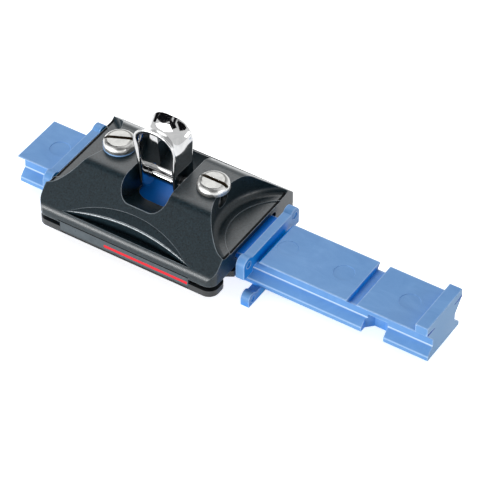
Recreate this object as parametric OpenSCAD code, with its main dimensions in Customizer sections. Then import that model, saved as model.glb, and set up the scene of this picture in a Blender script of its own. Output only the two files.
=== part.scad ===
// Ball-bearing traveller car for a 27 mm low-beam track, carried on its ball-loader rail.
// Millimetres. X runs along the rail, Y across it and Z up.
// The origin is under the middle of the rail, on the surface that its two lower bars stand on.

/* [Rail] */
// Length of the loader rail
rail_l = 215; // [205:1:260]
// Width of the lower flange, the same as the track
rail_w = 27; // [26:0.1:28]
// Width of the top flange
rail_top_w = 28.8; // [27.5:0.1:29]
// Thickness of the top flange at its edge
flange_t = 0.5; // [0.3:0.1:0.8]
// Thickness of the lower flange at its edge
foot_edge = 2.2; // [1.8:0.1:2.4]
// Width of the waist between the flanges
waist_w = 18.9; // [18:0.1:19]
// Height of the lower corner of the waist
waist_low = 6; // [5.6:0.1:6.1]
// Height of the upper corner of the waist
waist_high = 9.7; // [9.5:0.1:10]
// Height of the rail from its underside to its top
rail_h = 15.8; // [15:0.1:16.2]
// Radius of the round marks in the rail top
mark_r = 4.8; // [4:0.1:5]
// Depth of the round marks
mark_d = 0.2; // [0.1:0.05:0.4]
// Distance from the track end to the first mark
first_mark = 17.3; // [14:0.1:22]
// Distance from the track end to the second mark
second_mark = 50.4; // [46:0.1:54]
// Distance from the track end to the third mark
third_mark = 79.2; // [75:0.1:79.4]
// Distance from the left end to the mark beyond the left bar
left_mark = 13.4; // [8:0.1:13.8]
// Length of the raised lip at the track end
lip_l = 6.2; // [4:0.1:9]
// Height of the lip above the rail top
lip_h = 4.6; // [2:0.1:6]
// How far the lip stands out beyond each side of the top flange
lip_out = 0.4; // [0.1:0.1:1]
// Distance from the track end to the cross groove
groove_from_end = 35.5; // [32:0.1:38]
// Length of the cross groove
groove_l = 5.1; // [3:0.1:8]
// Depth of the cross groove
groove_d = 2.7; // [1:0.1:3.5]
// Distance from the track end to the notch in the lower flange
notch_from_end = 22.3; // [15:0.1:24]
// Length of the notch at the edge of the flange
notch_l = 11; // [9:0.1:12]
// Depth of the notch
notch_d = 6.4; // [5:0.1:7]

/* [Stops] */
// Thickness of a stop bar along the rail
stop_t = 4.4; // [3.5:0.1:5]
// Height of a stop bar above the rail top
stop_rise = 3; // [1.5:0.1:3.5]
// Height of a stop bar below the rail top
stop_drop = 3.4; // [2.5:0.1:3.8]
// Half the span of a stop bar over its round ends
stop_reach = 22.7; // [21:0.1:24]
// Radius of the round ends of the stop bars
lobe_r = 3.7; // [3:0.1:4]
// Depth of the round ends below the bars
lobe_drop = 2.6; // [0:0.1:3]
// Radius of the small round marks on the ends of the bars
pip_r = 1.8; // [1:0.1:2.2]
// Depth of those marks
pip_d = 0.25; // [0.1:0.05:0.4]
// Rise of the round ends above the bars
lobe_rise = 1.4; // [0.5:0.1:2]
// Height of the lower bars under the rail
foot_h = 4.8; // [4.2:0.1:6]
// Half the span of a lower bar over its round ends
foot_reach = 23.2; // [21:0.1:24]
// Rise of the lower bars' round ends above the underside of the rail
foot_rise = 1.6; // [0.5:0.1:2]
// Distance of the right lower bar beyond the right bar
foot_step = 2.8; // [0:0.1:4]
// Free play between the car and the left bar
play_left = 0.7; // [0.5:0.1:2]
// Free play between the car and the right bar
play_right = 4.1; // [2:0.1:5]
// Clearance of a bar in its seat
keeper_gap = 0.12; // [0.08:0.01:0.2]
// Length of the sloping face beyond the right bar
ramp_l = 2.6; // [1:0.1:4]

/* [Car body] */
// Place of the middle of the car along the rail
car_x = -35.5; // [-38:0.5:-30]
// Length of the car
car_l = 94; // [92:0.5:97]
// Width of the car
car_w = 70; // [69:0.5:72]
// Height of the flat top above the underside of the rail
top_z = 33.4; // [33:0.1:35]
// Width of the flat top between the ridges, before rounding
top_w = 29; // [28:0.1:30]
// Height at which the slopes would meet the sides
fold_z = 13.5; // [13:0.1:14]
// Rounding where a slope turns into a side
fold_r = 6; // [4:0.1:6.4]
// Rounding of the ridges along the flat top
ridge_r = 8; // [6:0.1:9]
// Rounding of the corners seen from above
corner_r = 5; // [3:0.1:6]
// Height of the lower face of the body
skirt_z = 9.7; // [9.5:0.05:9.9]
// Height of the ceiling of the track channel
roof_z = 17; // [16.7:0.1:17.4]
// Clearance between the body and the sides of the rail
channel_gap = 0.6; // [0.4:0.05:0.8]
// Radius of the relief in the upper corners of the channel
relief_r = 1.8; // [1.2:0.1:2]

/* [Hollowed ends] */
// Distance from the middle of the car to the end wall on the centre line
end_wall_x = 29.6; // [29.3:0.1:30.5]
// Radius of the hollow seen from above
hollow_r = 30.3; // [28:0.1:33]
// Height of the floor of the hollow
hollow_z = 20; // [19.5:0.1:21]
// Radius between the wall and the floor of the hollow
hollow_fillet = 3.6; // [2.5:0.1:5]
// Width of the rim round the shallow pad in the floor
pad_rim = 5; // [4:0.1:7]
// Depth of the shallow pad
pad_d = 0.5; // [0.2:0.1:0.8]

/* [Shackle slot] */
// Length of the slot along the car
slot_l = 24; // [23.8:0.1:24.4]
// Width of the opening through the roof
slot_w = 21; // [20.4:0.1:22]
// Width of the bowl over the slot, out on the slopes
bowl_w = 45.4; // [44:0.1:47]
// Radius of the bowl's floor
bowl_r = 41.5; // [40:0.1:43]
// Height of the lowest line of the bowl's floor
bowl_z = 18.1; // [17.8:0.1:18.4]
// Corner radius of the bowl seen from above
bowl_corner_r = 6.8; // [6:0.1:8]
// Corner radius of the opening through the roof
slot_corner_r = 9; // [7:0.1:9.4]

/* [Side scallops] */
// Distance from the side of the car to the crown of the arched wall
scallop_in = 6.3; // [6:0.1:6.6]
// Radius of the arched wall seen from above
scallop_r = 129; // [115:1:140]
// Radius of the trough in front of the wall
trough_r = 7; // [6.5:0.1:7.5]
// Distance from the side of the car to the lowest line of the trough
trough_in = 7; // [6.7:0.1:7.3]
// Height of the lowest line of the trough
trough_z = 12.6; // [12.4:0.1:13]
// Length of the shallow facet over the wall
facet_l = 64; // [58:0.5:68]
// Height of the facet up the slope
facet_h = 10.4; // [9:0.1:11.5]
// Depth of the facet at its upper edge
facet_d = 0.9; // [0.5:0.1:1.2]
// Distance of the facet's foot up the slope from the fold
facet_up = 3; // [2.6:0.1:3.6]

/* [Ball circuits] */
// Diameter of the balls
ball_d = 6.35; // [6:0.05:6.4]
// Height of the ball path above the underside of the rail
race_z = 7.7; // [7.5:0.05:7.9]
// Distance from the centre line to the loaded run
load_y = 13; // [12.9:0.05:13.2]
// Distance from the side of the car to the return run
return_in = 9.4; // [9.2:0.05:9.6]
// Half the length of the straight runs
run_half = 33; // [32:0.5:33.2]
// Clearance round a ball in its channel
ball_gap = 0.18; // [0.12:0.01:0.22]

/* [Ball guides] */
// Height of the underside of a ball guide
guide_z = 3.8; // [3.7:0.05:4]
// Height of the top of a ball guide
guide_top = 7.1; // [7:0.05:7.3]
// Gap between a ball guide and the lower flange of the rail
guide_gap = 0.6; // [0.4:0.05:0.7]
// Width of the round outer part of each end of a guide
nose_w = 12.4; // [12:0.1:13]
// Depth of the cove between that part and the part along the rail
cove_d = 3.6; // [3:0.1:3.7]
// Distance from the centre line to the cove, at the end of the guide
cove_y = 17.5; // [17:0.1:18]
// How far the inner side of the cove slants outwards
cove_slant = 2.3; // [1.5:0.1:2.6]
// Height of the fine groove along a guide above its underside
line_z = 0.45; // [0.4:0.05:0.5]
// Height of the groove itself
line_h = 0.35; // [0.3:0.05:0.4]
// Depth of the groove
line_d = 0.4; // [0.3:0.05:0.5]
// Depth of the raised middle of a guide
tab_d = 5; // [4:0.1:5.4]
// Clearance round the raised middle in the body
tab_gap = 0.2; // [0.1:0.05:0.3]
// How far the raised middle reaches into the body
tab_in = 0.8; // [0.6:0.1:1.2]
// Distance between the guide screws
guide_screw_pitch = 24; // [20:0.5:26]
// Diameter of the guide screws
guide_screw_d = 3; // [2.5:0.1:3.2]
// Diameter of the guide screw heads
guide_head_d = 5.4; // [5:0.1:5.8]
// Height of the guide screw heads
guide_head_h = 1.5; // [1.2:0.1:1.7]
// Length of the guide screws under the head
guide_screw_l = 9; // [7:0.1:9.4]

/* [Label] */
// Length of the label plate
label_l = 68.5; // [60:0.5:70]
// Height of the label plate
label_h = 5; // [4.4:0.1:5.2]
// Thickness of the label plate
label_t = 0.8; // [0.6:0.1:1]

/* [Screws] */
// Distance from the middle of the car to each screw
screw_x = 25; // [24.8:0.1:25.4]
// Diameter of the screw thread
screw_d = 6; // [5.5:0.1:6.4]
// Length of the screw under its head
screw_l = 12; // [10:0.1:12.4]
// Diameter of the screw head
head_d = 15.2; // [14:0.1:16]
// Height of the screw head
head_h = 4.2; // [3.8:0.1:5]
// Rounding of the top edge of the screw head
head_r = 3; // [2:0.1:3.4]
// Width of the driver slot
driver_w = 1.8; // [1.2:0.1:2.2]
// Depth of the driver slot
driver_d = 1.8; // [1.4:0.1:2.2]
// Turn of the left screw's driver slot
driver_left = 25; // [0:1:180]
// Thickness of the lock ring under the left screw head
ring_t = 0.8; // [0.5:0.1:1]
// Clearance of the screws and of the pin in their bores
bore_gap = 0.06; // [0.03:0.01:0.1]

/* [Shackle and pin] */
// Height of the pin above the underside of the rail
pin_z = 27.2; // [27:0.1:27.6]
// Diameter of the pin
pin_d = 6; // [5.5:0.1:6.2]
// Gap between the ends of the pin and the screws
pin_end_gap = 0.3; // [0.2:0.05:0.5]
// Diameter of the hole through which the pin goes in
pin_door_d = 7; // [6.8:0.1:7.4]
// Width of the shackle over its legs
shackle_w = 20.4; // [20:0.1:20.8]
// Thickness of the shackle strap
strap_t = 2.2; // [1.8:0.1:2.5]
// Width of the strap
strap_w = 15; // [14:0.1:15.4]
// Height of the crown above the pin, at the middle of the strap
crown_h = 27.2; // [25:0.1:30]
// Height of the arch of the crown above the straight legs
arch_rise = 8.5; // [7:0.1:9]
// Squareness of the arch, 2 for an ellipse
arch_power = 2.5; // [2:0.1:3]
// How far the crown leans along the rail
crown_lean = -2; // [-2.4:0.1:0]
// How far the edges of the crown flare out
flare = 3.6; // [1:0.1:4]
// Clearance of the shackle on its pin
hinge_gap = 0.08; // [0.04:0.01:0.1]

/* [Hidden] */
$fn = 96;
over = 1;
arc_steps = 10;
big = 400;
rail_z = foot_h;
near = -1;
far = 1;

// Places along the rail
right_end = rail_l / 2;
left_x = car_x - car_l / 2 - play_left - stop_t;
right_x = car_x + car_l / 2 + play_right;
mark_places = [right_end - first_mark, right_end - second_mark, right_end - third_mark, left_mark - right_end];
groove_x = right_end - groove_from_end - groove_l;
notch_x = right_end - notch_from_end - notch_l;
seat_z = rail_h - stop_drop;
stop_top = rail_h + stop_rise;
foot_lobe_r = (foot_h + foot_rise) / 2;

// Ball circuits
return_y = car_w / 2 - return_in;
turn_r = (return_y - load_y) / 2;
turn_y = load_y + turn_r;
channel_r = ball_d / 2 + ball_gap;
run_l = 2 * run_half;
turn_l = PI * turn_r;
circuit_l = 2 * run_l + 2 * turn_l;
turn_pitch = 2 * turn_r * asin((ball_d + ball_gap) / (2 * turn_r)) * PI / 180;
ball_count = floor(circuit_l / turn_pitch);
ball_pitch = circuit_l / ball_count;

// Car body
channel_w = rail_top_w + 2 * channel_gap;
slope_run = (car_w - top_w) / 2;
slope_rise = top_z - fold_z;
slope_angle = atan2(slope_rise, slope_run);
ridge_t = ridge_r * tan(slope_angle / 2);
fold_t = fold_r * tan((90 - slope_angle) / 2);
facet_r = (facet_l * facet_l / 4 + facet_h * facet_h) / (2 * facet_h);
label_half = label_l / 2;
guide_in = rail_w / 2 + guide_gap;
tab_top = skirt_z + tab_in - tab_gap;
label_z = tab_top - tab_gap - label_h;
rib_in = load_y + ball_d / 2 + ball_gap;
rib_out = return_y - ball_d / 2 - ball_gap;

// Shackle
pin_half = screw_x - screw_d / 2 - pin_end_gap;
leg_x = (shackle_w - strap_t) / 2;
arch_z = crown_h - arch_rise - strap_t / 2;
leg_flare = 0.3;
end_steps = 7;
leg_steps = 6;
arch_steps = 20;
strap_steps = 10;
last_station = 2 * end_steps + 2 * leg_steps + arch_steps;

// A cylinder along X, centred on its own length
module rod_x(l, r) {
  rotate([0, 90, 0])
    cylinder(h = l, r = r, center = true);
}

// A solid along X from x0 to x1 with its profile drawn as y and z
module along_x(x0, x1) {
  translate([x0, 0, 0])
    rotate([90, 0, 90])
      linear_extrude(x1 - x0)
        children();
}

// A rectangle with round corners, centred
module round_rect(l, w, r) {
  square([l - 2 * r, w], center = true);
  square([l, w - 2 * r], center = true);
  for (x = [-1, 1], y = [-1, 1])
    translate([x * (l / 2 - r), y * (w / 2 - r)])
      circle(r);
}

// Moves a piece of the car to its place on the rail
module on_rail() {
  translate([car_x, 0, rail_z])
    children();
}

// Rail
module rail_profile() {
  half = [
    [rail_w / 2, 0], [rail_w / 2, foot_edge], [waist_w / 2, waist_low], [waist_w / 2, waist_high],
    [rail_top_w / 2, rail_h - flange_t], [rail_top_w / 2, rail_h]
  ];
  last = len(half) - 1;
  polygon(concat(half, [for (i = [0:last]) [-half[last - i][0], half[last - i][1]]]));
}

// A bar across the rail from x on, with round ends that rise above it and reach below it
module bar(x, reach, r, z0, z1, rise, drop) {
  difference() {
    along_x(x, x + stop_t) {
      translate([-reach + r, z0])
        square([2 * (reach - r), z1 - z0]);
      for (s = [near, far])
        translate([s * (reach - r), z1 + rise - r]) {
          circle(r);
          translate([-r, z0 - z1 - rise + r - drop])
            square([2 * r, z1 - z0 + rise - r + drop]);
        }
    }
    for (s = [near, far])
      translate([x + stop_t, s * (reach - r), z1 + rise - r])
        rod_x(2 * pip_d, pip_r);
  }
}

module notch_cut() {
  translate([notch_x, -rail_w / 2, -over])
    linear_extrude(race_z + over) {
      polygon([
        [0, -over], [0, notch_d / 2], [notch_d / 2, notch_d], [notch_l - notch_d / 2, notch_d],
        [notch_l, notch_d / 2], [notch_l, -over]
      ]);
      translate([notch_l - notch_d / 2, notch_d / 2])
        circle(notch_d / 2);
    }
}

// The seat of a bar in the rail top, with a sloping face beyond it where ramp is more than nothing
module keeper_seat(x, ramp) {
  x0 = x - keeper_gap;
  x1 = x + stop_t + keeper_gap;
  rotate([90, 0, 0])
    linear_extrude(rail_top_w + 2 * over, center = true)
      polygon([
        [x0, rail_h + over], [x0, seat_z], [x1, seat_z], [x1 + ramp, rail_h], [x1 + ramp, rail_h + over]
      ]);
}

module loader_rail() {
  color("cornflowerblue")
    translate([0, 0, rail_z]) {
      difference() {
        union() {
          along_x(-rail_l / 2, right_end)
            rail_profile();
          translate([right_end - lip_l, -rail_top_w / 2 - lip_out, rail_h])
            cube([lip_l, rail_top_w + 2 * lip_out, lip_h]);
        }
        translate([groove_x, -rail_top_w / 2 - over, rail_h - groove_d])
          cube([groove_l, rail_top_w + 2 * over, groove_d + over]);
        notch_cut();
        for (x = mark_places)
          translate([x, 0, rail_h - mark_d])
            cylinder(h = mark_d + over, r = mark_r);
        keeper_seat(left_x, 0);
        keeper_seat(right_x, ramp_l);
      }
      for (x = [left_x, right_x + foot_step])
        bar(x, foot_reach, foot_lobe_r, -foot_h, 0, foot_rise, 0);
    }
}

// A loose bar that lies across the rail in its seat
module keeper(x) {
  color("royalblue")
    translate([0, 0, rail_z])
      bar(x, stop_reach, lobe_r, seat_z + keeper_gap, stop_top, lobe_rise, lobe_drop);
}

module left_keeper() {
  keeper(left_x);
}

module right_keeper() {
  keeper(right_x);
}

// Car body
function arc(c, r, a0, a1) = [
  for (i = [0:arc_steps])
    let (a = a0 + (a1 - a0) * i / arc_steps)
    c + r * [cos(a), sin(a)]
];

// One half of the outline across the car, from the lower face up to the flat top
function half_outline() = concat(
  [[car_w / 2, skirt_z]],
  arc([car_w / 2 - fold_r, fold_z - fold_t], fold_r, 0, 90 - slope_angle),
  arc([top_w / 2 - ridge_t, top_z - ridge_r], ridge_r, 90 - slope_angle, 90)
);

module body_profile() {
  half = half_outline();
  last = len(half) - 1;
  polygon(concat(half, [for (i = [0:last]) [-half[last - i][0], half[last - i][1]]]));
}

// The space that the balls of one side run in
module ball_channel(side) {
  for (y = [load_y, return_y])
    translate([0, side * y, race_z])
      rod_x(run_l, channel_r);
  for (e = [-1, 1])
    translate([e * run_half, side * turn_y, race_z])
      rotate([0, 0, -90 * e])
        rotate_extrude(angle = 180)
          translate([turn_r, 0])
            circle(channel_r);
}

module track_channel() {
  along_x(-car_l / 2 - over, car_l / 2 + over) {
    translate([-channel_w / 2, 0])
      square([channel_w, roof_z]);
    for (s = [near, far])
      translate([s * channel_w / 2, roof_z - relief_r])
        circle(relief_r);
  }
}

// The hollow at one end, a bowl turned about an upright axis out beyond the car
module end_hollow(e) {
  floor_r = hollow_r - hollow_fillet;
  translate([e * (end_wall_x + hollow_r), 0, hollow_z])
    rotate([0, 0, 90 - 90 * e]) {
      rotate_extrude() {
        square([floor_r, top_z]);
        translate([0, hollow_fillet])
          square([hollow_r, top_z]);
        translate([floor_r, hollow_fillet])
          intersection() {
            circle(hollow_fillet);
            translate([0, -hollow_fillet])
              square(hollow_fillet);
          }
      }
      translate([0, 0, -pad_d])
        cylinder(h = pad_d + over, r = floor_r - pad_rim / 2);
    }
}

module slot_and_bowl() {
  linear_extrude(top_z + over)
    round_rect(slot_l, slot_w, slot_corner_r);
  intersection() {
    linear_extrude(top_z + over)
      round_rect(slot_l, bowl_w, bowl_corner_r);
    translate([0, 0, bowl_z + bowl_r])
      rod_x(slot_l + over, bowl_r);
  }
}

// The trough along one side, ending inwards in an arched wall
module side_trough(side) {
  intersection() {
    translate([0, side * (car_w / 2 - scallop_in + scallop_r), 0])
      cylinder(h = top_z, r = scallop_r);
    along_x(-car_l / 2, car_l / 2)
      translate([side * (car_w / 2 - trough_in), trough_z + trough_r]) {
        circle(trough_r);
        translate([-trough_r, 0])
          square([2 * trough_r, top_z]);
      }
  }
}

// The shallow facet over that wall, its floor tilted about its foot on the slope
module side_facet(side) {
  rotate([0, 0, 90 + 90 * side])
    translate([0, facet_up * cos(slope_angle) - car_w / 2, fold_z + facet_up * sin(slope_angle)])
      rotate([slope_angle - asin(facet_d / facet_h), 0, 0])
        linear_extrude(facet_h)
          intersection() {
            translate([0, facet_h - facet_r])
              circle(facet_r);
            translate([-facet_l, 0])
              square([2 * facet_l, facet_h + over]);
          }
}

module guide_screw_places(side) {
  for (i = [-1:1])
    translate([i * guide_screw_pitch, side * turn_y, guide_z + guide_head_h])
      children();
}

module car_body() {
  color("dimgray")
    on_rail()
      difference() {
        intersection() {
          union() {
            along_x(-car_l / 2, car_l / 2)
              body_profile();
            for (s = [near, far])
              translate([-run_half, s > 0 ? rib_in : -rib_out, guide_top])
                cube([run_l, rib_out - rib_in, skirt_z - guide_top + over]);
          }
          linear_extrude(top_z + over)
            round_rect(car_l, car_w, corner_r);
        }
        track_channel();
        slot_and_bowl();
        for (e = [-1, 1]) {
          end_hollow(e);
          translate([e * screw_x, 0, top_z - screw_l])
            cylinder(h = screw_l + over, r = screw_d / 2 + bore_gap);
        }
        for (s = [near, far]) {
          ball_channel(s);
          side_trough(s);
          side_facet(s);
          translate([-label_half - tab_gap, s > 0 ? car_w / 2 - tab_d - tab_gap : -car_w / 2 - over, 0])
            cube([label_l + 2 * tab_gap, tab_d + tab_gap + over, skirt_z + tab_in]);
          guide_screw_places(s)
            cylinder(h = guide_screw_l, r = guide_screw_d / 2 + bore_gap);
        }
        translate([0, 0, pin_z]) {
          rod_x(2 * pin_half, pin_d / 2 + bore_gap);
          translate([pin_half, 0, 0])
            rotate([0, 90, 0])
              cylinder(h = car_l, r = pin_door_d / 2);
        }
      }
}

// Ball guides
// One guide seen from above, each end with a round nose outside and a cove beside it
module guide_outline(side) {
  end_x = car_l / 2;
  cove_x = end_x - cove_d;
  slant_y = cove_y + cove_slant;
  along_rail = [
    [-end_x, guide_in], [end_x, guide_in], [end_x, cove_y], [cove_x, slant_y], [-cove_x, slant_y], [-end_x, cove_y]
  ];
  polygon([for (p = along_rail) [p[0], side * p[1]]]);
  translate([0, side * (car_w - nose_w) / 2])
    round_rect(car_l, nose_w, corner_r);
  translate([0, side * (slant_y + car_w / 2 - corner_r) / 2])
    square([2 * cove_x, car_w / 2 - corner_r - slant_y + over], center = true);
}

module ball_guide(side) {
  color([0.16, 0.17, 0.18])
    on_rail()
      difference() {
        union() {
          translate([0, 0, guide_z])
            linear_extrude(guide_top - guide_z)
              guide_outline(side);
          translate([-label_half, side > 0 ? car_w / 2 - tab_d : -car_w / 2, guide_z])
            cube([label_l, tab_d, tab_top - guide_z]);
        }
        ball_channel(side);
        label_box(side, tab_gap / 4, label_t + over);
        translate([-label_half, side > 0 ? car_w / 2 - line_d : -car_w / 2 - over, guide_z + line_z])
          cube([label_l, line_d + over, line_h]);
        guide_screw_places(side) {
          cylinder(h = top_z, r = guide_screw_d / 2 + bore_gap);
          translate([0, 0, -guide_head_h - over])
            cylinder(h = guide_head_h + over, r = guide_head_d / 2 + bore_gap);
        }
      }
}

module near_ball_guide() {
  ball_guide(near);
}

module far_ball_guide() {
  ball_guide(far);
}

// The block of a label plate, seated on the guide's raised middle
module label_box(side, gap, t) {
  y0 = car_w / 2 - label_t;
  translate([-label_half - gap, side > 0 ? y0 : -y0 - t, label_z - gap])
    cube([label_l + 2 * gap, t, label_h + 2 * gap]);
}

module near_label() {
  color("slategray")
    on_rail()
      label_box(near, 0, label_t);
}

module far_label() {
  color("slategray")
    on_rail()
      label_box(far, 0, label_t);
}

// Balls, set out one pitch apart round the circuit
function circuit_point(s) =
  s < run_l ? [s - run_half, load_y]
  : s < run_l + turn_l ? turn_point(run_half, -90 + (s - run_l) / turn_r * 180 / PI)
  : s < 2 * run_l + turn_l ? [run_half - (s - run_l - turn_l), return_y]
  : turn_point(-run_half, 90 + (s - 2 * run_l - turn_l) / turn_r * 180 / PI);

function turn_point(x, a) = [x + turn_r * cos(a), turn_y + turn_r * sin(a)];

function circuit_part(s) =
  s < run_l ? "load"
  : s < run_l + turn_l ? "turn"
  : s < 2 * run_l + turn_l ? "return"
  : "turn";

module balls(side, part) {
  color("darkslategray")
    on_rail()
      for (i = [0:ball_count - 1]) {
        s = (i + 0.5) * ball_pitch;
        p = circuit_point(s);
        if (circuit_part(s) == part)
          translate([p[0], side * p[1], race_z])
            sphere(d = ball_d);
      }
}

module near_load_balls() {
  balls(near, "load");
}

module near_return_balls() {
  balls(near, "return");
}

module near_turn_balls() {
  balls(near, "turn");
}

module far_load_balls() {
  balls(far, "load");
}

module far_return_balls() {
  balls(far, "return");
}

module far_turn_balls() {
  balls(far, "turn");
}

// Screws
module guide_screws(side) {
  color("silver")
    on_rail()
      guide_screw_places(side) {
        cylinder(h = guide_screw_l, d = guide_screw_d);
        translate([0, 0, -guide_head_h])
          cylinder(h = guide_head_h, d = guide_head_d);
      }
}

module near_guide_screws() {
  guide_screws(near);
}

module far_guide_screws() {
  guide_screws(far);
}

// A slotted pan-head screw standing in its bore, its head lifted by what lies under it
module top_screw(e, lift, turn) {
  color("silver")
    on_rail()
      translate([e * screw_x, 0, top_z + lift])
        difference() {
          union() {
            rotate_extrude() {
              square([head_d / 2, head_h - head_r]);
              square([head_d / 2 - head_r, head_h]);
              translate([head_d / 2 - head_r, head_h - head_r])
                intersection() {
                  circle(head_r);
                  square(head_r);
                }
            }
            translate([0, 0, -screw_l])
              cylinder(h = screw_l, d = screw_d);
          }
          rotate([0, 0, turn])
            translate([-head_d, -driver_w / 2, head_h - driver_d])
              cube([2 * head_d, driver_w, head_h]);
        }
}

module left_screw() {
  top_screw(-1, ring_t, driver_left);
}

module right_screw() {
  top_screw(1, 0, 0);
}

module lock_ring() {
  color("deepskyblue")
    on_rail()
      translate([-screw_x, 0, top_z])
        difference() {
          cylinder(h = ring_t, d = head_d);
          translate([0, 0, -over])
            cylinder(h = ring_t + 2 * over, r = screw_d / 2 + bore_gap);
        }
}

// Shackle
module shackle_pin() {
  color("gainsboro")
    on_rail()
      translate([0, 0, pin_z])
        rod_x(2 * pin_half, pin_d / 2);
}

// Stations along the strap, each as [x, z, angle of its outward side, share of the flare, half width]
function strap_station(i) =
  i < end_steps ? eye_station(1, i)
  : i < end_steps + leg_steps ? leg_station(1, i - end_steps)
  : i <= last_station - end_steps - leg_steps ? arch_station((i - end_steps - leg_steps) / arch_steps)
  : i <= last_station - end_steps ? leg_station(-1, last_station - end_steps - i)
  : eye_station(-1, last_station - i);

function eye_station(e, i) =
  let (a = 84 * (1 - i / end_steps))
  [e * leg_x, -strap_w / 2 * sin(a), 90 - 90 * e, 0, strap_w / 2 * cos(a)];

function leaned(x, z) = x + crown_lean * z / crown_h;

function leg_station(e, i) =
  let (z = arch_z * i / leg_steps)
  [leaned(e * leg_x, z), z, 90 - 90 * e, leg_flare * pow(i / leg_steps, 3), strap_w / 2];

function arch_station(t) =
  let (
    a = 180 * t,
    side = sign(cos(a)),
    c = abs(cos(a)),
    x = side * leg_x * pow(c, 2 / arch_power),
    z = arch_z + arch_rise * pow(sin(a), 2 / arch_power),
    out = atan2(pow(sin(a), 2 - 2 / arch_power) / arch_rise, side * pow(c, 2 - 2 / arch_power) / leg_x)
  )
  [leaned(x, z), z, out, leg_flare + (1 - leg_flare) * sin(a), strap_w / 2];

// One ring of points round the strap: out along its outer side and back along its inner side
function strap_ring(st) = [
  for (k = [0:2 * strap_steps + 1])
    let (
      outer = k <= strap_steps,
      v = outer ? -1 + 2 * k / strap_steps : 1 - 2 * (k - strap_steps - 1) / strap_steps,
      reach = flare * st[3] * v * v + (outer ? strap_t / 2 : -strap_t / 2)
    )
    [st[0] + reach * cos(st[2]), v * st[4], st[1] + reach * sin(st[2])]
];

module strap() {
  ring = 2 * strap_steps + 2;
  points = [for (i = [0:last_station]) each strap_ring(strap_station(i))];
  sides = [
    for (i = [0:last_station - 1], k = [0:ring - 1])
      let (a = i * ring + k, b = i * ring + (k + 1) % ring)
      each [[a, b, b + ring], [a, b + ring, a + ring]]
  ];
  caps = [
    for (k = [0:strap_steps - 1])
      let (a = k, b = ring - 1 - k, c = last_station * ring + a, d = last_station * ring + b)
      each [[a, b, b - 1], [a, b - 1, a + 1], [c, d - 1, d], [c, c + 1, d - 1]]
  ];
  polyhedron(points, concat(sides, caps), convexity = 8);
}

module shackle() {
  color("gainsboro")
    on_rail()
      translate([0, 0, pin_z])
        difference() {
          strap();
          rod_x(2 * shackle_w, pin_d / 2 + hinge_gap);
        }
}

loader_rail();
left_keeper();
right_keeper();
car_body();
near_ball_guide();
far_ball_guide();
near_label();
far_label();
near_load_balls();
near_return_balls();
near_turn_balls();
far_load_balls();
far_return_balls();
far_turn_balls();
near_guide_screws();
far_guide_screws();
left_screw();
right_screw();
lock_ring();
shackle_pin();
shackle();
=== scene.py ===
"""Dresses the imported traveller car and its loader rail, and sets up the photograph's view.

Lengths of the part are in millimetres and MM turns them into metres. The studio round it is in metres.
"""

import math

import bmesh
import bpy
from mathutils import Matrix, Vector


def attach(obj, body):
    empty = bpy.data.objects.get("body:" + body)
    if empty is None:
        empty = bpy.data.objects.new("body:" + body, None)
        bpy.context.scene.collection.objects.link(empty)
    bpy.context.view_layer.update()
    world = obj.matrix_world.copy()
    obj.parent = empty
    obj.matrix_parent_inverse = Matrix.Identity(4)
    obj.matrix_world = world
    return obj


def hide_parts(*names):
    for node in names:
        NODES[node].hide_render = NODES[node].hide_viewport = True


MM = 0.001
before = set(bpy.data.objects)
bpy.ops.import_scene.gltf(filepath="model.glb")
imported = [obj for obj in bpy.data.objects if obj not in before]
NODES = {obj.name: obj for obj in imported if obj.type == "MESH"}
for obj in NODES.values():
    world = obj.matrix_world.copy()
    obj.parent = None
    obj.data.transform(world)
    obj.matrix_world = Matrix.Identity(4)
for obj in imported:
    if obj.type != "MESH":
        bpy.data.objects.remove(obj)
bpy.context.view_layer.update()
SCENE = bpy.context.scene

# Places of the car, the rail and the bars in the row frame
CAR_X = -35.5
CAR_HALF = 47.0
CAR_SIDE_Y = 35.0
RAIL_Z = 4.8
RAIL_TOP_Z = RAIL_Z + 15.8
RAIL_END_X = 107.5
PIN_Z = RAIL_Z + 27.2
SCREW_X = 25.0
BAR_T = 4.4
BAR_FACE_X = 20.0
BAR_RIGHT_X = (BAR_FACE_X - BAR_T, BAR_FACE_X)
BAR_LEFT_X = (-87.6, -87.6 + BAR_T)


# Materials

# The stretch of the rail that the car and the gap beside it keep in the dark
COVER_X = CAR_X + 1.5
COVER_HALF = 49.0
COVER_FADE = 0.5
# From none to all of the painted shade on the right bar's face, and of the painted light, a paler
# tone, on the rail's end
FACING = (0.80, 0.95)
BAR_SHADE_X = (0.8, 0.4)
BAR_SHADE_Y = (12.0, -4.0)
END_PALE_X = (RAIL_END_X - 0.5, RAIL_END_X - 0.2)
# The turning marks on a screw head, in radians to the metre
TURNING_MARKS = 9000.0
# How far the painted shade in a blue gap and the darkening in a screw slot reach, and how wide a
# painted edge highlight is
BLUE_GAP = 12.0
BLUE_EDGE = 0.9
BLACK_EDGE = 1.2
BLACK_BEVEL = 0.7
SCREW_GAP = 3.0
# The painted highlight lines at the foot of the rail's waist and along the lower flange
WAIST_LINE_Z = RAIL_Z + 5.95
WAIST_LINE_Y = (9.3, 10.2, 10.8)
FLANGE_LINE_Z = RAIL_Z + 2.3
FLANGE_LINE_Y = 12.8
LINE_CORE = 0.1
LINE_REACH = 0.4
# The stripe on the near label and the thin border round it
STRIPE_X = (CAR_X - 10.5, CAR_X + 33.8)
STRIPE_Z = (RAIL_Z + 6.3, RAIL_Z + 7.9)
BORDER_X = (CAR_X - 10.5, CAR_X + 34.2)
BORDER_Z = (RAIL_Z + 5.95, RAIL_Z + 8.25)


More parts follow.
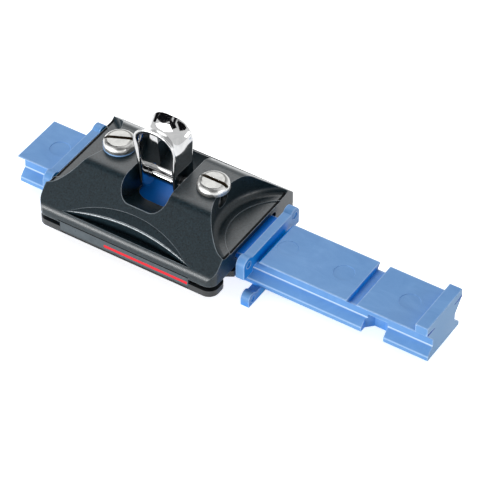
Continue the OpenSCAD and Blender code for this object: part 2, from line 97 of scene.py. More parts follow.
def new_material(name):
    """An empty material with one principled shader."""
    material = bpy.data.materials.new(name)
    material.use_nodes = True
    nodes = material.node_tree.nodes
    nodes.clear()
    out = nodes.new("ShaderNodeOutputMaterial")
    shader = nodes.new("ShaderNodeBsdfPrincipled")
    material.node_tree.links.new(shader.outputs["BSDF"], out.inputs["Surface"])
    return material, shader


class Graph:
    """Short names for the nodes that the materials are built from."""

    def __init__(self, material):
        self.tree = material.node_tree
        coordinates = self.add("ShaderNodeTexCoord")
        self.place = coordinates.outputs["Object"]
        self.normal = coordinates.outputs["Normal"]

    def add(self, kind, **props):
        node = self.tree.nodes.new(kind)
        for key, value in props.items():
            setattr(node, key, value)
        return node

    def link(self, a, b):
        self.tree.links.new(a, b)

    def put(self, socket, value):
        if isinstance(value, bpy.types.NodeSocket):
            self.link(value, socket)
        else:
            socket.default_value = value

    def parts(self, vector):
        """The x, y and z of a vector."""
        node = self.add("ShaderNodeSeparateXYZ")
        self.link(vector, node.inputs["Vector"])
        return node.outputs["X"], node.outputs["Y"], node.outputs["Z"]

    def stretch(self, scale):
        node = self.add("ShaderNodeMapping")
        node.inputs["Scale"].default_value = scale
        self.link(self.place, node.inputs["Vector"])
        return node.outputs["Vector"]

    def noise(self, scale, detail=3.0, rough=0.5, distort=0.0, vector=None):
        node = self.add("ShaderNodeTexNoise")
        self.link(vector or self.place, node.inputs["Vector"])
        node.inputs["Scale"].default_value = scale
        node.inputs["Detail"].default_value = detail
        node.inputs["Roughness"].default_value = rough
        node.inputs["Distortion"].default_value = distort
        return node.outputs["Fac"]

    def ramp(self, value, stops):
        node = self.add("ShaderNodeValToRGB")
        elements = node.color_ramp.elements
        while len(elements) < len(stops):
            elements.new(0.5)
        for element, (pos, colour) in zip(elements, stops):
            element.position = pos
            element.color = (*colour, 1.0)
        self.link(value, node.inputs["Fac"])
        return node.outputs["Color"]

    def span(self, value, low, high, to_low=0.0, to_high=1.0):
        node = self.add("ShaderNodeMapRange")
        self.put(node.inputs["Value"], value)
        node.inputs["From Min"].default_value = low
        node.inputs["From Max"].default_value = high
        node.inputs["To Min"].default_value = to_low
        node.inputs["To Max"].default_value = to_high
        return node.outputs["Result"]

    def math(self, operation, a, b=0.5):
        node = self.add("ShaderNodeMath", operation=operation)
        self.put(node.inputs[0], a)
        self.put(node.inputs[1], b)
        return node.outputs["Value"]

    def product(self, value, *others):
        for other in others:
            value = self.math("MULTIPLY", value, other)
        return value

    def distance(self, value, place):
        """How far a coordinate is from a place along the same axis."""
        return self.math("ABSOLUTE", self.math("SUBTRACT", value, place * MM))

    def mix(self, factor, a, b):
        node = self.add("ShaderNodeMix", data_type="RGBA")
        self.put(node.inputs["Factor"], factor)
        colours = [s for s in node.inputs if s.type == "RGBA"]
        for socket, value in zip(colours, (a, b)):
            if isinstance(value, bpy.types.NodeSocket):
                self.link(value, socket)
            else:
                socket.default_value = (*value, 1.0)
        return [s for s in node.outputs if s.type == "RGBA"][0]

    def edges(self, radius, low, high):
        """1 along the edges of the piece and 0 away from them, by how far a rounded normal turns."""
        soft = self.add("ShaderNodeBevel", samples=8)
        soft.inputs["Radius"].default_value = radius * MM
        plain = self.add("ShaderNodeNewGeometry").outputs["Normal"]
        node = self.add("ShaderNodeVectorMath", operation="DOT_PRODUCT")
        self.link(soft.outputs["Normal"], node.inputs[0])
        self.link(plain, node.inputs[1])
        return self.span(node.outputs["Value"], high, low)

    def openness(self, distance, inside=False):
        """The open share of the air above a point, or of the solid under it, within a distance."""
        node = self.add("ShaderNodeAmbientOcclusion", samples=12, inside=inside)
        node.inputs["Distance"].default_value = distance * MM
        return node.outputs["AO"]

    def bump(self, shader, height, strength, distance):
        node = self.add("ShaderNodeBump")
        node.inputs["Strength"].default_value = strength
        node.inputs["Distance"].default_value = distance * MM
        self.link(height, node.inputs["Height"])
        self.link(node.outputs["Normal"], shader.inputs["Normal"])


def srgb(r, g, b):
    """A colour of 0 to 255 as the linear one that the nodes take."""

    def linear(c):
        c /= 255.0
        return c / 12.92 if c <= 0.04045 else ((c + 0.055) / 1.055) ** 2.4

    return (linear(r), linear(g), linear(b))


def shaded_blue(g, colour):
    """Paints shade as deeper blue under the car, in gaps and on the right bar, and paints light as a
    paler tone on the rail's end.
    """
    x, y, _ = g.parts(g.place)
    facing = g.span(g.parts(g.normal)[0], *FACING)
    covered = g.span(
        g.distance(x, COVER_X), (COVER_HALF + COVER_FADE) * MM, (COVER_HALF - COVER_FADE) * MM
    )
    # Painted shade under the car: a deeper blue
    colour = g.mix(covered, colour, srgb(6, 108, 200))
    # Painted shade in the gaps, by how little air is open above
    air = g.openness(BLUE_GAP)
    colour = g.mix(g.span(air, 0.72, 0.34), colour, srgb(6, 124, 226))
    # Deeper painted shade in the deepest gaps, away from the car
    deep = g.product(g.span(air, 0.45, 0.18), g.math("SUBTRACT", 1.0, covered))
    colour = g.mix(deep, colour, srgb(6, 196, 252))
    # Painted shade on the right bar's face
    at_bar = g.span(g.distance(x, BAR_FACE_X), BAR_SHADE_X[0] * MM, BAR_SHADE_X[1] * MM)
    along = g.span(y, BAR_SHADE_Y[0] * MM, BAR_SHADE_Y[1] * MM, 0.0, 0.95)
    colour = g.mix(g.product(at_bar, facing, along), colour, srgb(8, 124, 204))
    # Painted light on the rail's end: a paler tone
    at_end = g.span(x, END_PALE_X[0] * MM, END_PALE_X[1] * MM)
    return g.mix(g.product(at_end, facing), colour, srgb(116, 157, 199))


def lined_blue(g, colour):
    """Paints highlights along the convex edges and two highlight lines along each side of the rail."""
    _, y, z = g.parts(g.place)
    across = g.math("ABSOLUTE", y)
    # Painted highlight along the convex edges, broken up by noise
    ridge = g.span(g.openness(BLUE_EDGE, inside=True), 0.85, 0.55)
    painted_edge_glint = g.product(ridge, g.span(g.noise(160.0), 0.3, 0.6, 0.2, 0.5))
    colour = g.mix(painted_edge_glint, colour, srgb(190, 214, 240))
    inner, core, outer = WAIST_LINE_Y
    # Painted highlight line at the foot of the waist
    waist = g.product(
        g.span(g.distance(z, WAIST_LINE_Z), LINE_REACH * MM, LINE_CORE * MM),
        g.span(across, outer * MM, core * MM),
        g.math("GREATER_THAN", across, inner * MM),
    )
    colour = g.mix(waist, colour, srgb(196, 216, 238))
    # Painted highlight line along the lower flange
    flange = g.product(
        g.span(g.distance(z, FLANGE_LINE_Z), LINE_REACH * MM, LINE_CORE * MM, 0.0, 0.7),
        g.math("GREATER_THAN", across, FLANGE_LINE_Y * MM),
    )
    return g.mix(flange, colour, srgb(176, 208, 240))


def blue_plastic():
    """Satin moulding with faint flow swirls and a fine skin, with painted shade under the car and in
    its gaps, painted light on its end and painted highlights along its edges.
    """
    material, shader = new_material("rail_blue")
    g = Graph(material)
    swirl = g.noise(38.0, 4.0, 0.6, 2.2, g.stretch((1.0, 2.2, 1.0)))
    colour = g.ramp(
        swirl,
        [(0.30, srgb(95, 141, 194)), (0.55, srgb(101, 147, 199)), (0.75, srgb(108, 153, 204))],
    )
    g.link(lined_blue(g, shaded_blue(g, colour)), shader.inputs["Base Color"])
    g.link(g.span(g.noise(60.0), 0.3, 0.7, 0.34, 0.44), shader.inputs["Roughness"])
    g.bump(shader, g.noise(1500.0, 2.0), 0.06, 0.2)
    shader.inputs["Specular IOR Level"].default_value = 0.16
    return material


def black_anodised():
    """Hard-anodised aluminium: nearly black, with a fine satin grain and a painted highlight along its
    edges.
    """
    material, shader = new_material("body_black")
    g = Graph(material)
    tone = g.ramp(g.noise(1300.0, 3.0, 0.6), [(0.32, srgb(3, 15, 21)), (0.68, srgb(26, 42, 49))])
    # Painted highlight along the edges: a lighter grey, broken up by noise
    painted_edge_light = g.product(
        g.span(g.openness(BLACK_EDGE, inside=True), 0.995, 0.95),
        g.edges(BLACK_BEVEL, 0.80, 0.98),
        g.span(g.noise(160.0), 0.3, 0.6, 0.5, 1.0),
    )
    g.link(g.mix(painted_edge_light, tone, srgb(118, 126, 132)), shader.inputs["Base Color"])
    g.link(g.span(g.noise(700.0, 3.0, 0.7), 0.3, 0.7, 0.27, 0.36), shader.inputs["Roughness"])
    g.bump(shader, g.noise(2600.0, 2.0, 0.6), 0.13, 0.2)
    shader.inputs["Specular IOR Level"].default_value = 0.40
    return material


def black_plastic():
    """Black guide moulding with fine lines drawn along it."""
    material, shader = new_material("guide_black")
    g = Graph(material)
    lines = g.noise(30.0, 2.0, 0.5, 0.0, g.stretch((0.4, 20.0, 60.0)))
    tone = g.ramp(lines, [(0.3, srgb(16, 18, 20)), (0.7, srgb(40, 43, 46))])
    g.link(tone, shader.inputs["Base Color"])
    g.link(g.span(lines, 0.3, 0.7, 0.32, 0.44), shader.inputs["Roughness"])
    g.bump(shader, lines, 0.15, 0.2)
    return material


def stainless():
    """Polished stainless with faint swirl marks."""
    material, shader = new_material("polished_steel")
    g = Graph(material)
    haze = g.noise(260.0, 4.0, 0.6, 1.5)
    tone = g.ramp(haze, [(0.3, (0.50, 0.505, 0.51)), (0.7, (0.58, 0.58, 0.58))])
    g.link(tone, shader.inputs["Base Color"])
    g.link(g.span(haze, 0.3, 0.7, 0.05, 0.11), shader.inputs["Roughness"])
    shader.inputs["Metallic"].default_value = 1.0
    g.bump(shader, g.noise(900.0, 2.0), 0.015, 0.2)
    return material


def screw_steel(name, screw_x):
    """Turned stainless of a screw head: fine rings round its axis, a satin rim and a slot that turns
    darker and browner where it is enclosed.
    """
    material, shader = new_material(name)
    g = Graph(material)
    x, y, _ = g.parts(g.place)
    across = g.math("SUBTRACT", x, screw_x * MM)
    squares = g.math("ADD", g.math("POWER", across, 2.0), g.math("POWER", y, 2.0))
    rings = g.math("SINE", g.math("MULTIPLY", g.math("SQRT", squares), TURNING_MARKS))
    haze = g.noise(300.0, 4.0, 0.6, 1.0)
    rim = g.span(g.parts(g.normal)[2], 0.98, 0.80)
    top = g.ramp(haze, [(0.3, (0.15, 0.15, 0.146)), (0.7, (0.22, 0.22, 0.212))])
    bare = g.mix(rim, top, (0.64, 0.64, 0.625))
    # Darker and browner where the slot is enclosed
    slot_darkening = g.span(g.openness(SCREW_GAP), 0.62, 0.40)
    g.link(g.mix(slot_darkening, bare, (0.13, 0.10, 0.062)), shader.inputs["Base Color"])
    satin = g.math("MULTIPLY", rim, 0.14)
    g.link(g.math("ADD", g.span(haze, 0.3, 0.7, 0.16, 0.26), satin), shader.inputs["Roughness"])
    shader.inputs["Metallic"].default_value = 1.0
    g.bump(shader, rings, 0.10, 0.05)
    return material


def label_plate(striped):
    """Grey plate, on the near side with a plain red stripe in a thin border."""
    material, shader = new_material("label_striped" if striped else "label_plain")
    g = Graph(material)
    colour = g.ramp(g.noise(500.0), [(0.3, srgb(66, 74, 79)), (0.7, srgb(76, 84, 89))])
    if striped:
        x, _, z = g.parts(g.place)

        def band(xs, zs):
            return g.product(
                g.math("GREATER_THAN", z, zs[0] * MM),
                g.math("LESS_THAN", z, zs[1] * MM),
                g.math("GREATER_THAN", x, xs[0] * MM),
                g.math("LESS_THAN", x, xs[1] * MM),
            )

        colour = g.mix(band(BORDER_X, BORDER_Z), colour, srgb(44, 84, 88))
        colour = g.mix(band(STRIPE_X, STRIPE_Z), colour, srgb(206, 26, 42))
    g.link(colour, shader.inputs["Base Color"])
    g.link(g.span(g.noise(400.0), 0.3, 0.7, 0.26, 0.36), shader.inputs["Roughness"])
    shader.inputs["Specular IOR Level"].default_value = 0.2
    return material


def mottled(name, tone_noise, dark, light, rough_noise, rough, constants):
    """A plain material that varies a little in tone and gloss, with constants for other sockets."""
    material, shader = new_material(name)
    g = Graph(material)
    tone = g.ramp(g.noise(*tone_noise), [(0.3, srgb(*dark)), (0.7, srgb(*light))])
    g.link(tone, shader.inputs["Base Color"])
    g.link(g.span(g.noise(*rough_noise), 0.3, 0.7, *rough), shader.inputs["Roughness"])
    for socket, value in constants.items():
        shader.inputs[socket].default_value = value
    return material


BLUE = blue_plastic()
BLACK = black_anodised()
GUIDE = black_plastic()
STEEL = stainless()
BALL = mottled("ball_dark", (300.0,), (38, 34, 26), (52, 46, 34), (200.0,), (0.2, 0.3), {})
RING = mottled(
    "ring_pale_blue", (250.0,), (120, 160, 205), (140, 176, 215), (300.0,), (0.35, 0.45), {}
)
# Painted shade in the narrow slots under the lip in the rail's end, as a dark blue
SLOT_SHADE = mottled(
    "slot_shade_blue",
    (200.0,),
    (0, 62, 150),
    (4, 76, 166),
    (300.0,),
    (0.4, 0.5),
    {"Specular IOR Level": 0.1},
)
# Painted shade: the matt black of dark strips laid along shaded edges and gaps of the car
SHADE_STRIP = mottled(
    "shade_strip_dark",
    (400.0,),
    (5, 7, 8),
    (14, 16, 18),
    (300.0,),
    (0.55, 0.7),
    {"Specular IOR Level": 0.05},
)
# The anodising worn through to grey metal, made paler to carry a painted highlight along the scallop
# lips
WORN_GLINT_METAL = mottled(
    "worn_glint_metal",
    (500.0, 4.0, 0.7),
    (94, 100, 104),
    (136, 141, 144),
    (700.0, 3.0, 0.7),
    (0.3, 0.4),
    {"Metallic": 0.7},
)


# CAD nodes

WELD_GAP = 0.002
FLAT_ANGLE = math.radians(0.4)
EDGE_ANGLE = math.radians(28)
EDGE_SEGMENTS = 2
NORMAL_WEIGHT = 60


def paint(obj, material):
    obj.data.materials.clear()
    obj.data.materials.append(material)


def finish_node(name, material, bevel):
    """Gives a CAD node its material, and small rounded edges where bevel is more than nothing."""
    obj = NODES[name]
    paint(obj, material)
    weld = obj.modifiers.new("weld", "WELD")
    weld.merge_threshold = WELD_GAP * MM
    if bevel:
        flat = obj.modifiers.new("flat", "DECIMATE")
        flat.decimate_type = "DISSOLVE"
        flat.angle_limit = FLAT_ANGLE
        edge = obj.modifiers.new("edge", "BEVEL")
        edge.width = bevel * MM
        edge.segments = EDGE_SEGMENTS
        edge.limit_method = "ANGLE"
        edge.angle_limit = EDGE_ANGLE
        edge.use_clamp_overlap = True
    normals = obj.modifiers.new("normals", "WEIGHTED_NORMAL")
    normals.keep_sharp = False
    normals.weight = NORMAL_WEIGHT


for node_name in ("loader_rail", "left_keeper", "right_keeper"):
    finish_node(node_name, BLUE, 0.3)
finish_node("car_body", BLACK, 0.35)
for side_name in ("near", "far"):
    finish_node(f"{side_name}_ball_guide", GUIDE, 0.2)
    finish_node(f"{side_name}_label", label_plate(side_name == "near"), 0.1)
    for run in ("load", "return", "turn"):
        finish_node(f"{side_name}_{run}_balls", BALL, 0)
    finish_node(f"{side_name}_guide_screws", STEEL, 0.15)
finish_node("left_screw", screw_steel("left_screw_steel", CAR_X - SCREW_X), 0.2)
finish_node("right_screw", screw_steel("right_screw_steel", CAR_X + SCREW_X), 0.2)
finish_node("shackle_pin", STEEL, 0.2)
finish_node("lock_ring", RING, 0.1)


# Meshes of the added pieces


def add_point(bm, x, y, z):
    return bm.verts.new(Vector((x, y, z)) * MM)


def add_tube(bm, rings, closed=False):
    """Skins rings of points one after another, and closes the tube with caps or on itself."""
    count = len(rings[0])
    ends = rings[1:] + rings[:1] if closed else rings[1:]
    for a, b in zip(rings, ends):
        for k in range(count):
            after = (k + 1) % count
            bm.faces.new((a[k], a[after], b[after], b[k])).smooth = True
    if not closed:
        for cap in (rings[0], rings[-1]):
            bm.faces.new(cap).smooth = True


def add_box(bm, xs, ys, zs):
    corners = [add_point(bm, x, y, z) for x in xs for y in ys for z in zs]
    sides = ((0, 1, 3, 2), (4, 6, 7, 5), (0, 4, 5, 1), (2, 3, 7, 6), (0, 2, 6, 4), (1, 5, 7, 3))
    for side in sides:
        bm.faces.new([corners[k] for k in side])


def add_object(name, bm, material, closed=True):
    """Turns a bmesh into an object in the scene. A closed one gets its faces turned outward."""
    if closed:
        bmesh.ops.recalc_face_normals(bm, faces=bm.faces)
    mesh = bpy.data.meshes.new(name)
    bm.to_mesh(mesh)
    bm.free()
    obj = bpy.data.objects.new(name, mesh)
    SCENE.collection.objects.link(obj)
    paint(obj, material)
    return obj


def add_piece(name, bm, material, body, closed=True):
    """Adds a piece of thin trim that rides on a body."""
    obj = add_object(name, bm, material, closed)
    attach(obj, body)
    return obj


# Shackle, as one smooth flared strap

LEG_X = 9.1
STRAP_T = 2.2
STRAP_W = 15.0
ARCH_Z = 17.6
ARCH_RISE = 8.5
ARCH_POWER = 2.5
FLARE = 3.6
LEG_FLARE = 0.3
CROWN_H = 27.2
CROWN_LEAN = -2.0
PIN_HOLE_R = 3.08
PIN_HOLE_L = 30.0
PIN_HOLE_SIDES = 64
EYE_ANGLE = 88.0
EDGE_STEPS = 5
FLAT_STEPS = 14
EYE_STEPS = 14
LEG_STEPS = 16
ARCH_STEPS = 48


def leaned(x, z):
    return x + CROWN_LEAN * max(z, 0.0) / CROWN_H


def strap_stations():
    """Points along the strap from eye to eye: x, z, outward angle, share of the flare, half width."""
    half = STRAP_W / 2
    legs = []
    for i in range(EYE_STEPS):
        a = math.radians(EYE_ANGLE * (1 - i / EYE_STEPS))
        legs.append((-half * math.sin(a), 0.0, half * math.cos(a)))
    for i in range(LEG_STEPS):
        t = i / LEG_STEPS
        legs.append((ARCH_Z * t, LEG_FLARE * t**3, half))
    right = [(leaned(LEG_X, z), z, 0.0, f, w) for z, f, w in legs]
    left = [(leaned(-LEG_X, z), z, math.pi, f, w) for z, f, w in reversed(legs)]
    arch = []
    power = 2 / ARCH_POWER
    for i in range(ARCH_STEPS + 1):
        a = math.pi * i / ARCH_STEPS
        side = math.copysign(1.0, math.cos(a))
        c, u = abs(math.cos(a)), max(math.sin(a), 0.0)
        x, z = side * LEG_X * c**power, ARCH_Z + ARCH_RISE * u**power
        out = math.atan2(u ** (2 - power) / ARCH_RISE, side * c ** (2 - power) / LEG_X)
        arch.append((leaned(x, z), z, out, LEG_FLARE + (1 - LEG_FLARE) * u, half))
    return right + arch + left


def strap_section(half):
    """The strap's section with round edges, as pairs of the place across it and the offset outward."""
    r = min(STRAP_T / 2, half)
    straight = half - r
    ring = []
    for i in range(FLAT_STEPS + 1):
        ring.append((-straight + 2 * straight * i / FLAT_STEPS, STRAP_T / 2))
    for i in range(1, 2 * EDGE_STEPS):
        a = math.pi / 2 - math.pi * i / (2 * EDGE_STEPS)
        ring.append((straight + r * math.cos(a), STRAP_T / 2 * math.sin(a)))
    for i in range(FLAT_STEPS + 1):
        ring.append((straight - 2 * straight * i / FLAT_STEPS, -STRAP_T / 2))
    for i in range(1, 2 * EDGE_STEPS):
        a = -math.pi / 2 - math.pi * i / (2 * EDGE_STEPS)
        ring.append((-straight + r * math.cos(a), STRAP_T / 2 * math.sin(a)))
    return ring


def drill_pin_hole(obj):
    """Cuts the hole for the pin through both legs."""
    bm = bmesh.new()
    turn = Matrix.Rotation(math.pi / 2, 4, "Y")
    place = Matrix.Translation(Vector((CAR_X, 0, PIN_Z)) * MM)
    bmesh.ops.create_cone(
        bm,
        cap_ends=True,
        segments=PIN_HOLE_SIDES,
        radius1=PIN_HOLE_R * MM,
        radius2=PIN_HOLE_R * MM,
        depth=PIN_HOLE_L * MM,
        matrix=place @ turn,
    )
    drill = add_object("pin_hole", bm, STEEL)
    cut = obj.modifiers.new("pin_hole", "BOOLEAN")
    cut.operation = "DIFFERENCE"
    cut.object = drill
    evaluated = obj.evaluated_get(bpy.context.evaluated_depsgraph_get())
    drilled = bpy.data.meshes.new_from_object(evaluated)
    obj.modifiers.clear()
    obj.data = drilled
    bpy.data.objects.remove(drill)


def make_shackle():
    """The strap that takes the place of the faceted solid."""
    bm = bmesh.new()
    rings = []
    for x, z, a, share, half in strap_stations():
        ring = []
        for y, out in strap_section(half):
            reach = out + FLARE * share * (y / (STRAP_W / 2)) ** 2
            ring.append(
                add_point(bm, CAR_X + x + reach * math.cos(a), y, PIN_Z + z + reach * math.sin(a))
            )
        rings.append(ring)
    add_tube(bm, rings)
    obj = add_object("shackle_strap", bm, STEEL)
    drill_pin_hole(obj)
    paint(obj, STEEL)
    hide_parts("shackle")
    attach(obj, "shackle")


make_shackle()


# Thin trim on the car: rounded lips along the scallops, and dark strips of painted shade

SCALLOP_Y = 28.7
SCALLOP_R = 129.0
FACET_FOOT = (32.85, RAIL_Z + 15.59)
FACET_SLOPE = 0.815
LIP_HALF = 32.0
LIP_R = 0.65
LIP_TIP_R = 0.08
LIP_IN = 0.55
LIP_DOWN = 1.05
LIP_STEPS = 64
LIP_SIDES = 14
# The dark strips of painted shade along the car's ends and sides
SHADE_STRIP_T = 0.12
END_SHADE_IN = 1.25
END_SHADE_OUT = 0.2
END_SHADE_Y = 25.4
END_SHADE_STEPS = 200
END_SHADE_FROM_Z = 30.0
SIDE_SHADE_X = (CAR_X - 35.5, CAR_X + 34.25)
SIDE_SHADE_Z = (15.05, 15.5)


def make_lip(name, side):
    """A bead along the edge between the facet and the scallop's wall, fading out at its tips."""
    bm = bmesh.new()
    rings = []
    for i in range(LIP_STEPS + 1):
        t = 2 * i / LIP_STEPS - 1
        x = LIP_HALF * t
        r = LIP_R * (1 - t**4) + LIP_TIP_R
        y = SCALLOP_Y + SCALLOP_R - math.sqrt(SCALLOP_R**2 - x**2) - LIP_IN * r
        z = FACET_FOOT[1] + (FACET_FOOT[0] - y) * FACET_SLOPE - LIP_DOWN * r
        ring = []
        for k in range(LIP_SIDES):
            a = 2 * math.pi * k / LIP_SIDES
            ring.append(
                add_point(bm, CAR_X + x, side * (y + r * math.cos(a)), z + r * math.sin(a))
            )
        rings.append(ring)
    add_tube(bm, rings)
    # The lip's pale worn metal also carries a painted highlight
    add_piece(name, bm, WORN_GLINT_METAL, "car")


def make_end_shade(name, side):
    """A painted shade line where a hollow meets the end of the car: a dark strip facing up, laid on
    the body.
    """
    bm = bmesh.new()
    xs = sorted(CAR_X + side * (CAR_HALF - inset) for inset in (END_SHADE_IN, END_SHADE_OUT))
    rows = []
    for j in range(END_SHADE_STEPS + 1):
        y = END_SHADE_Y * (2 * j / END_SHADE_STEPS - 1)
        rows.append([add_point(bm, x, y, END_SHADE_FROM_Z) for x in xs])
    for a, b in zip(rows, rows[1:]):
        bm.faces.new((a[0], a[1], b[1], b[0]))
    obj = add_piece(name, bm, SHADE_STRIP, "car", closed=False)
    drop = obj.modifiers.new("drop", "SHRINKWRAP")
    drop.target = NODES["car_body"]
    drop.wrap_method = "PROJECT"
    drop.use_project_z = True
    drop.use_negative_direction = True
    drop.use_positive_direction = False
    drop.offset = SHADE_STRIP_T / 2 * MM
    thick = obj.modifiers.new("thick", "SOLIDIFY")
    thick.thickness = SHADE_STRIP_T * MM
    thick.offset = -1.0


def make_side_shade(name, side):
    """Painted shade in the gap between a label and the foot of the body: a dark box."""
    bm = bmesh.new()
    ys = sorted(side * y for y in (CAR_SIDE_Y - SHADE_STRIP_T, CAR_SIDE_Y + SHADE_STRIP_T / 2))
    add_box(bm, SIDE_SHADE_X, ys, SIDE_SHADE_Z)
    add_piece(name, bm, SHADE_STRIP, "car")


# Thin trim on the rail and the bars: webs, rims of round marks, and painted shade for slots

WEB_Y = (12.6, 15.5)
WEB_Z = (15.2, 17.4)
RING_R = 1.8
RING_T = 0.2
RING_STEPS = 40
RING_SIDES = 8
BAR_RING = (BAR_FACE_X, 19.0, RAIL_Z + 16.5)
FOOT_RING = (BAR_FACE_X + 2.8, 20.0, RAIL_Z - 1.6)
END_SLOT_X = (RAIL_END_X - 0.5, RAIL_END_X + 0.05)
END_SLOT_YZ = (
    (14.75, RAIL_TOP_Z),
    (14.75, RAIL_TOP_Z + 1.4),
    (8.4, RAIL_TOP_Z + 0.4),
    (8.4, RAIL_TOP_Z),
)


def add_rings(bm, place):
    """Thin rings round the x axis at both ends of a bar, for the rims of its round marks."""
    x, y, z = place
    for side in (-1, 1):
        loops = []
        for i in range(RING_STEPS):
            a = 2 * math.pi * i / RING_STEPS
            loop = []
            for k in range(RING_SIDES):
                b = 2 * math.pi * k / RING_SIDES
                r = RING_R + RING_T * math.cos(b)
                loop.append(
                    add_point(
                        bm, x + RING_T * math.sin(b), side * y + r * math.cos(a), z + r * math.sin(a)
                    )
                )
            loops.append(loop)
        add_tube(bm, loops, closed=True)


def make_bar_trim(name, xs, body, ring):
    """The web inside a bar's far end, and where ring is given the rims of the marks on both ends."""
    bm = bmesh.new()
    add_box(bm, xs, WEB_Y, WEB_Z)
    if ring:
        add_rings(bm, ring)
    add_piece(name, bm, BLUE, body)


def make_foot_rings():
    """The rims of the marks on the right lower bar."""
    bm = bmesh.new()
    add_rings(bm, FOOT_RING)
    add_piece("foot_rings", bm, BLUE, "rail")


def make_end_slots():
    """Dark blue patches of painted shade for the two narrow slots under the lip, in the end of the
    rail.
    """
    bm = bmesh.new()
    for side in (-1, 1):
        back, front = ([add_point(bm, x, side * y, z) for y, z in END_SLOT_YZ] for x in END_SLOT_X)
        bm.faces.new(back)
        bm.faces.new(front)
        for k in range(len(END_SLOT_YZ)):
            bm.faces.new((back[k], back[k - 1], front[k - 1], front[k]))
    add_piece("end_slots", bm, SLOT_SHADE, "rail")


make_lip("near_lip", -1)
make_lip("far_lip", 1)
make_end_slots()
# Dark strips of painted shade
make_end_shade("left_end_shade", -1)
make_end_shade("right_end_shade", 1)
make_side_shade("near_gap_shade", -1)
make_side_shade("far_gap_shade", 1)
make_bar_trim("left_bar_trim", BAR_LEFT_X, "left_bar", None)
make_bar_trim("right_bar_trim", BAR_RIGHT_X, "right_bar", BAR_RING)
make_foot_rings()


# Floor, world and lights, in metres

AIM = Vector((0, 0, 0.02))
FLOOR_HALF = 6.0
FLOOR_TONE = 0.85
FLOOR_GLOW = 0.74
FILL_TONE = (0.95, 0.97, 1.0, 1.0)
FILL_STRENGTH = 0.46
CARD_TONE = (0.01, 0.01, 0.012, 1.0)


def camera_or_mirror(tree):
    """1 for rays from the camera and for reflected or refracted ones, else 0."""
    path = tree.nodes.new("ShaderNodeLightPath")
    value = path.outputs["Is Camera Ray"]
    for name in ("Is Glossy Ray", "Is Transmission Ray"):
        node = tree.nodes.new("ShaderNodeMath")
        node.operation = "MAXIMUM"
        tree.links.new(value, node.inputs[0])
        tree.links.new(path.outputs[name], node.inputs[1])
        value = node.outputs["Value"]
    return value


def diffuse_material(name, tone):
    """A diffuse shader, for the studio alone."""
    material = bpy.data.materials.new(name)
    material.use_nodes = True
    tree = material.node_tree
    tree.nodes.clear()
    out = tree.nodes.new("ShaderNodeOutputMaterial")
    diffuse = tree.nodes.new("ShaderNodeBsdfDiffuse")
    diffuse.inputs["Color"].default_value = tone
    tree.links.new(diffuse.outputs["BSDF"], out.inputs["Surface"])
    return material, tree, diffuse, out


def add_panel(name, wide, tall, material):
    """A flat panel of half sizes wide and tall."""
    mesh = bpy.data.meshes.new(name)
    corners = [(-wide, -tall, 0), (wide, -tall, 0), (wide, tall, 0), (-wide, tall, 0)]
    mesh.from_pydata(corners, [], [(0, 1, 2, 3)])
    obj = bpy.data.objects.new(name, mesh)
    SCENE.collection.objects.link(obj)
    paint(obj, material)
    return obj


def aim(obj, place):
    obj.location = place
    obj.rotation_euler = (AIM - Vector(place)).to_track_quat("-Z", "Y").to_euler()


def make_floor():
    """A pale floor that keeps the shadow, and glows only for the camera and in mirrors."""
    tone = (FLOOR_TONE, FLOOR_TONE, FLOOR_TONE, 1.0)
    material, tree, diffuse, out = diffuse_material("floor_pale", tone)
    glow = tree.nodes.new("ShaderNodeEmission")
    glow.inputs["Strength"].default_value = FLOOR_GLOW
    black = tree.nodes.new("ShaderNodeEmission")
    black.inputs["Strength"].default_value = 0.0
    choose = tree.nodes.new("ShaderNodeMixShader")
    tree.links.new(camera_or_mirror(tree), choose.inputs["Fac"])
    tree.links.new(black.outputs["Emission"], choose.inputs[1])
    tree.links.new(glow.outputs["Emission"], choose.inputs[2])
    add = tree.nodes.new("ShaderNodeAddShader")
    tree.links.new(diffuse.outputs["BSDF"], add.inputs[0])
    tree.links.new(choose.outputs["Shader"], add.inputs[1])
    tree.links.new(add.outputs["Shader"], out.inputs["Surface"])
    obj = add_panel("floor", FLOOR_HALF, FLOOR_HALF, material)


def make_world():
    """A soft fill on the object, and plain white for the camera and in mirrors."""
    world = bpy.data.worlds.new("studio")
    SCENE.world = world
    world.use_nodes = True
    sky = world.node_tree
    sky.nodes.clear()
    out = sky.nodes.new("ShaderNodeOutputWorld")
    fill = sky.nodes.new("ShaderNodeBackground")
    fill.inputs["Color"].default_value = FILL_TONE
    fill.inputs["Strength"].default_value = FILL_STRENGTH
    white = sky.nodes.new("ShaderNodeBackground")
    white.inputs["Color"].default_value = (1.0, 1.0, 1.0, 1.0)
    white.inputs["Strength"].default_value = 1.0
    choose = sky.nodes.new("ShaderNodeMixShader")
    sky.links.new(camera_or_mirror(sky), choose.inputs["Fac"])
    sky.links.new(fill.outputs["Background"], choose.inputs[1])
    sky.links.new(white.outputs["Background"], choose.inputs[2])
    sky.links.new(choose.outputs["Shader"], out.inputs["Surface"])


def area_light(name, place, size, power):
    """A soft lamp in watts, aimed at the object."""
    data = bpy.data.lights.new(name, "AREA")
    data.shape = "RECTANGLE"
    data.size, data.size_y = size
    data.energy = power
    obj = bpy.data.objects.new(name, data)
    aim(obj, place)
    SCENE.collection.objects.link(obj)


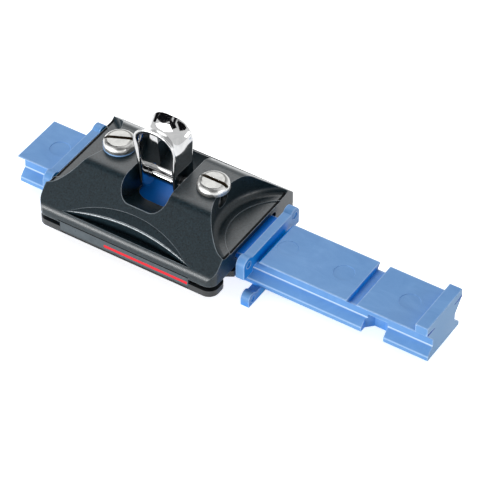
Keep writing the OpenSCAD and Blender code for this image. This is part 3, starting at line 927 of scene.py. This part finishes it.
def dark_card(name, place, size):
    """A black board out of the picture, for the polished steel to reflect."""
    material = diffuse_material(name, CARD_TONE)[0]
    obj = add_panel(name, size[0] / 2, size[1] / 2, material)
    aim(obj, place)
    obj.visible_diffuse = False
    obj.visible_shadow = False


make_floor()
make_world()
area_light("key", (-0.50, 0.50, 1.05), (0.85, 1.1), 9.0)
area_light("front_low", (-0.48, -1.02, 0.08), (0.9, 0.30), 17.0)
area_light("right", (1.15, -0.2, 0.3), (0.5, 0.3), 2.6)
dark_card("camera_card", (0.673, -1.045, 1.16), (1.6, 1.6))
dark_card("left_card", (-1.3, 0.0, 0.4), (0.9, 0.5))
dark_card("top_card", (-0.25, -0.15, 1.8), (0.9, 0.9))
dark_card("rim_card", (-0.85, -0.20, 0.90), (0.6, 0.8))
dark_card("strip_0", (-0.62, -0.52, 0.98), (0.2, 1.0))
dark_card("strip_1", (-0.30, -0.66, 1.06), (0.2, 1.0))


# Camera, at the photograph's viewing angle

CAMERA_AZIMUTH = math.radians(32.75)
CAMERA_ELEVATION = math.radians(43.0)
CAMERA_DISTANCE = 1.2915
CAMERA_TARGET = Vector((0.0015, 0.00278, 0.0098))
FOCAL_PX = 2900.0
FRAME_PX = 480.0
SENSOR_MM = 36.0

camera_data = bpy.data.cameras.new("camera")
camera_data.sensor_fit = "HORIZONTAL"
camera_data.sensor_width = SENSOR_MM
camera_data.lens = FOCAL_PX / FRAME_PX * SENSOR_MM
camera_data.clip_start = 0.05
camera_data.clip_end = 50.0
camera = bpy.data.objects.new("camera", camera_data)
back = Vector(
    (
        math.sin(CAMERA_AZIMUTH) * math.cos(CAMERA_ELEVATION),
        -math.cos(CAMERA_AZIMUTH) * math.cos(CAMERA_ELEVATION),
        math.sin(CAMERA_ELEVATION),
    )
)
camera.location = CAMERA_TARGET + CAMERA_DISTANCE * back
camera.rotation_euler = (-back).to_track_quat("-Z", "Y").to_euler()
SCENE.collection.objects.link(camera)
SCENE.camera = camera
SCENE.view_settings.view_transform = "Standard"
